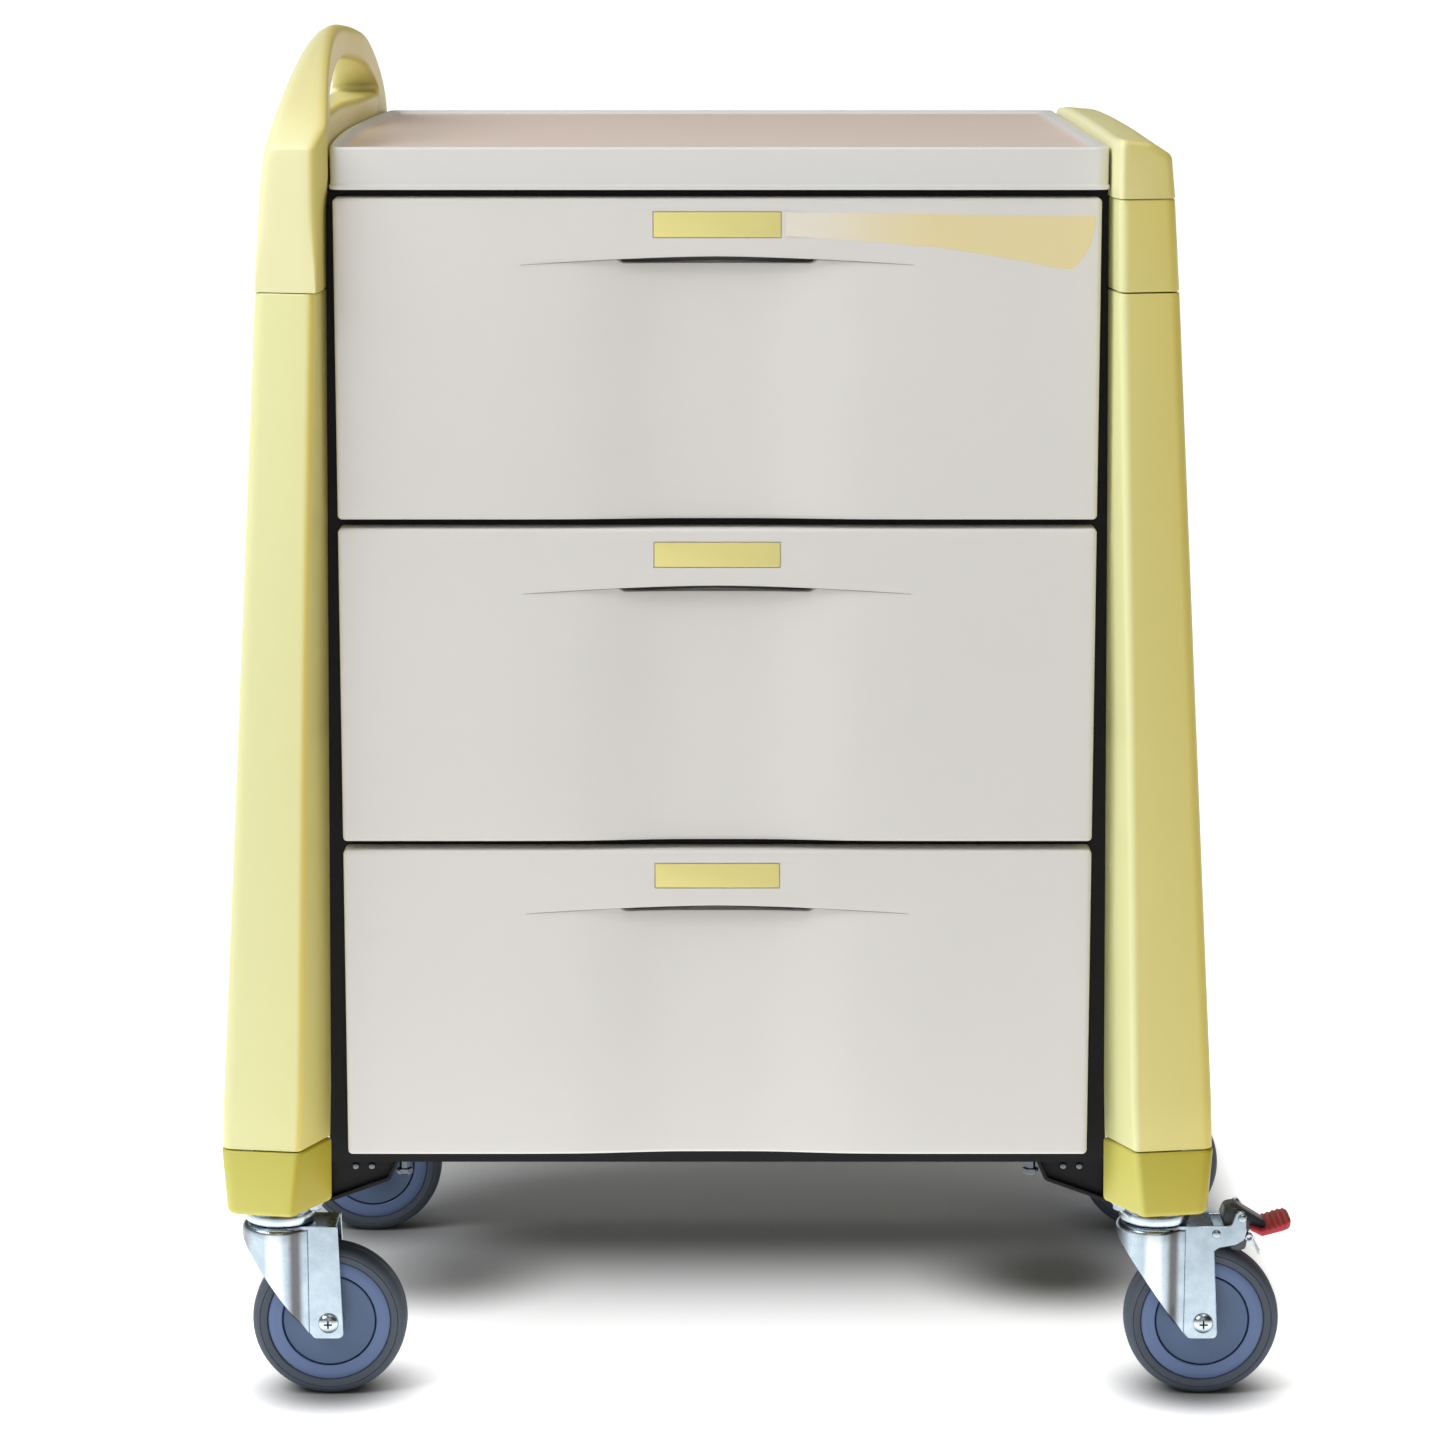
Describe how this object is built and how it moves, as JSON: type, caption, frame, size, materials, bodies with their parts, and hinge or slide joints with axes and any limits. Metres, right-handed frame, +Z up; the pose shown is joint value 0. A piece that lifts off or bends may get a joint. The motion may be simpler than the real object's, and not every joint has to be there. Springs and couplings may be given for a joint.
{
  "type": "rolling drawer chest",
  "caption": "Wheeled storage chest with deep pull-out drawers in a steel frame, flared side covers, an arched push handle and braked swivel casters.",
  "frame": {"origin": "centre of the bounding box's bottom face, on the floor", "axes": "+Z up, -Y out of the drawer fronts, +X towards the side without the push handle"},
  "size_m": [0.8554, 0.61, 1.094],
  "materials": {
    "drawer_plastic": "satin moulded light grey",
    "tray_plastic": "moulded light grey bin",
    "deck_plastic": "satin light grey",
    "cream_plastic": "satin pale yellow",
    "bumper_plastic": "satin deeper yellow",
    "insert_plastic": "smooth pale amber",
    "black_steel": "black powder coat",
    "zinc_steel": "bright zinc plate",
    "tyre_rubber": "dark blue grey rubber",
    "hub_plastic": "moulded blue grey",
    "lever_plastic": "dark grey",
    "pedal_plastic": "moulded red"
  },
  "bodies": {
    "root": {"front_frame": "black_steel", "back_panel": "black_steel", "base_pan": "black_steel", "side_panel_left": "black_steel", "side_panel_right": "black_steel", "work_surface": "deck_plastic", "left_cover": "cream_plastic", "right_cover": "cream_plastic", "push_handle": "cream_plastic", "right_band": "cream_plastic", "right_cap": "cream_plastic", "left_bumper": "bumper_plastic", "right_bumper": "bumper_plastic", "outrigger_front_left": "black_steel", "outrigger_front_right": "black_steel", "outrigger_rear_left": "black_steel", "outrigger_rear_right": "black_steel", "caster_plate_front_left": "zinc_steel", "caster_plate_front_right": "zinc_steel", "caster_plate_rear_left": "zinc_steel", "caster_plate_rear_right": "zinc_steel", "slide_rail_1_left": "zinc_steel", "slide_rail_1_right": "zinc_steel", "slide_rail_2_left": "zinc_steel", "slide_rail_2_right": "zinc_steel", "slide_rail_3_left": "zinc_steel", "slide_rail_3_right": "zinc_steel"},
    "drawer_1": {"drawer_front_1": "drawer_plastic", "drawer_insert_1": "insert_plastic", "drawer_tray_1": "tray_plastic", "slide_inner_1_left": "zinc_steel", "slide_inner_1_right": "zinc_steel"},
    "drawer_2": {"drawer_front_2": "drawer_plastic", "drawer_insert_2": "insert_plastic", "drawer_tray_2": "tray_plastic", "slide_inner_2_left": "zinc_steel", "slide_inner_2_right": "zinc_steel"},
    "drawer_3": {"drawer_front_3": "drawer_plastic", "drawer_insert_3": "insert_plastic", "drawer_tray_3": "tray_plastic", "slide_inner_3_left": "zinc_steel", "slide_inner_3_right": "zinc_steel"},
    "swivel_front_left": {"caster_fork_front_left": "zinc_steel", "caster_axle_front_left": "zinc_steel"},
    "wheel_front_left": {"caster_tyre_front_left": "tyre_rubber", "caster_hub_front_left": "hub_plastic"},
    "swivel_front_right": {"caster_fork_front_right": "zinc_steel", "caster_axle_front_right": "zinc_steel"},
    "wheel_front_right": {"caster_tyre_front_right": "tyre_rubber", "caster_hub_front_right": "hub_plastic"},
    "swivel_rear_left": {"caster_fork_rear_left": "zinc_steel", "caster_axle_rear_left": "zinc_steel"},
    "wheel_rear_left": {"caster_tyre_rear_left": "tyre_rubber", "caster_hub_rear_left": "hub_plastic"},
    "swivel_rear_right": {"caster_fork_rear_right": "zinc_steel", "caster_axle_rear_right": "zinc_steel"},
    "wheel_rear_right": {"caster_tyre_rear_right": "tyre_rubber", "caster_hub_rear_right": "hub_plastic"},
    "foot_brake": {"brake_lever": "lever_plastic", "brake_pedal": "pedal_plastic"}
  },
  "joints": [
    {"name": "drawer_1_slide", "type": "slide", "parent": "root", "child": "drawer_1", "axis": [0, -1, 0], "range_m": [0, 0.38]},
    {"name": "drawer_2_slide", "type": "slide", "parent": "root", "child": "drawer_2", "axis": [0, -1, 0], "range_m": [0, 0.38]},
    {"name": "drawer_3_slide", "type": "slide", "parent": "root", "child": "drawer_3", "axis": [0, -1, 0], "range_m": [0, 0.38]},
    {"name": "swivel_front_left", "type": "hinge", "parent": "root", "child": "swivel_front_left", "pos_m": [-0.38925, -0.22, 0.15], "axis": [0, 0, 1], "continuous": true},
    {"name": "wheel_front_left_spin", "type": "hinge", "parent": "swivel_front_left", "child": "wheel_front_left", "pos_m": [-0.35025, -0.22, 0.0625], "axis": [0, 1, 0], "continuous": true},
    {"name": "swivel_front_right", "type": "hinge", "parent": "root", "child": "swivel_front_right", "pos_m": [0.31875, -0.22, 0.15], "axis": [0, 0, 1], "continuous": true},
    {"name": "wheel_front_right_spin", "type": "hinge", "parent": "swivel_front_right", "child": "wheel_front_right", "pos_m": [0.35775, -0.22, 0.0625], "axis": [0, 1, 0], "continuous": true},
    {"name": "swivel_rear_left", "type": "hinge", "parent": "root", "child": "swivel_rear_left", "pos_m": [-0.38925, 0.22, 0.15], "axis": [0, 0, 1], "continuous": true},
    {"name": "wheel_rear_left_spin", "type": "hinge", "parent": "swivel_rear_left", "child": "wheel_rear_left", "pos_m": [-0.35025, 0.22, 0.0625], "axis": [0, 1, 0], "continuous": true},
    {"name": "swivel_rear_right", "type": "hinge", "parent": "root", "child": "swivel_rear_right", "pos_m": [0.31875, 0.22, 0.15], "axis": [0, 0, 1], "continuous": true},
    {"name": "wheel_rear_right_spin", "type": "hinge", "parent": "swivel_rear_right", "child": "wheel_rear_right", "pos_m": [0.35775, 0.22, 0.0625], "axis": [0, 1, 0], "continuous": true},
    {"name": "foot_brake_hinge", "type": "hinge", "parent": "swivel_front_right", "child": "foot_brake", "pos_m": [0.38725, -0.22, 0.149], "axis": [0, 1, 0], "range_deg": [0, 14]}
  ]
}
